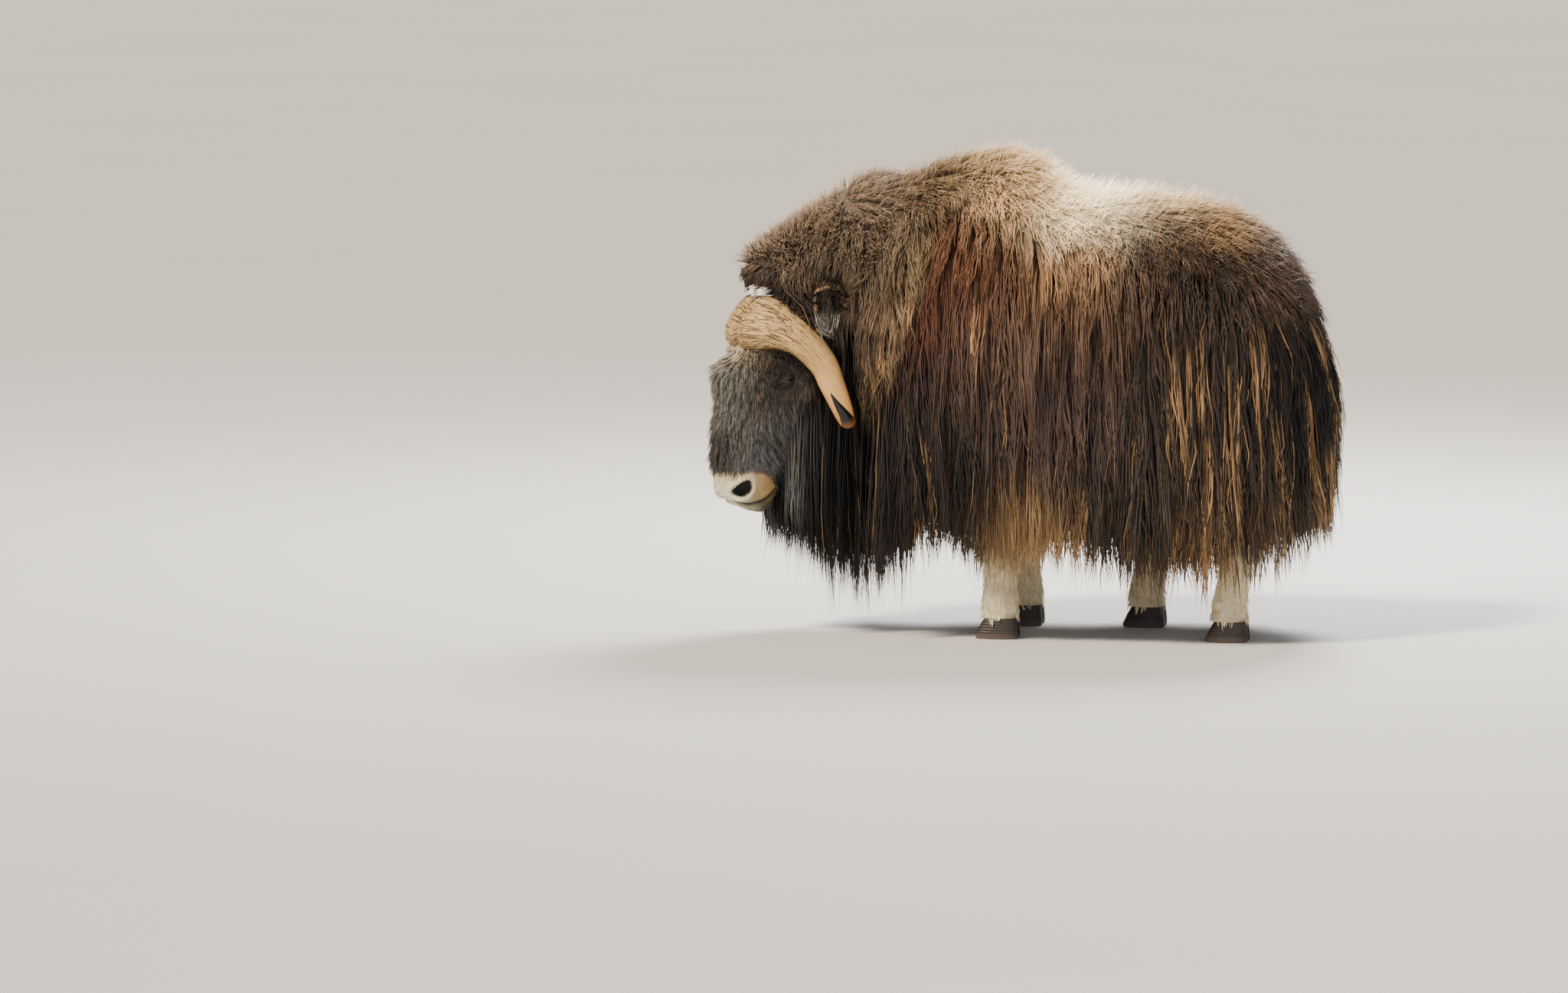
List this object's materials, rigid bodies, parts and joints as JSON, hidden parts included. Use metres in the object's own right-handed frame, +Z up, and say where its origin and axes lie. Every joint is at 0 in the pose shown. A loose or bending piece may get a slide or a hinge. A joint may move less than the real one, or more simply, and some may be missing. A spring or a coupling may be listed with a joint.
{
  "type": "muskox",
  "caption": "Life-size still model of an adult muskox bull standing with its head lowered and turned to its left, horns, eyes and hooves in nodes of their own.",
  "frame": {"origin": "middle of the box's floor, under the chest, on the ground that the hooves stand on", "axes": "-X is the way the body faces, -Y its left side, +Z up"},
  "size_m": [1.7646, 0.8566, 1.3743],
  "materials": {
    "coat_rump": "long dark brown guard hair with light tan strands",
    "coat_flank": "woolly pale saddle above long dark brown guard hair",
    "coat_shoulder": "rusty brown hair, darker towards the hem",
    "mane": "thick greyish brown mane with lighter tips",
    "face": "short dark grey-brown hair, cream muzzle",
    "ear": "short brown hair, tan rim",
    "horn": "satin horn: cracked pale boss, smooth tan shaft, black tip",
    "eye": "glossy very dark brown",
    "tail": "dark brown hair",
    "leg": "short cream hair",
    "hoof": "dull black horn"
  },
  "bodies": {
    "root": {"tail": "tail", "neck": "mane", "head": "face", "rump_left": "coat_rump", "flank_left": "coat_flank", "shoulder_left": "coat_shoulder", "horn_left": "horn", "ear_left": "ear", "eye_left": "eye", "leg_front_left": "leg", "hoof_front_left_inner": "hoof", "hoof_front_left_outer": "hoof", "leg_hind_left": "leg", "hoof_hind_left_inner": "hoof", "hoof_hind_left_outer": "hoof", "rump_right": "coat_rump", "flank_right": "coat_flank", "shoulder_right": "coat_shoulder", "horn_right": "horn", "ear_right": "ear", "eye_right": "eye", "leg_front_right": "leg", "hoof_front_right_inner": "hoof", "hoof_front_right_outer": "hoof", "leg_hind_right": "leg", "hoof_hind_right_inner": "hoof", "hoof_hind_right_outer": "hoof"}
  },
  "joints": []
}
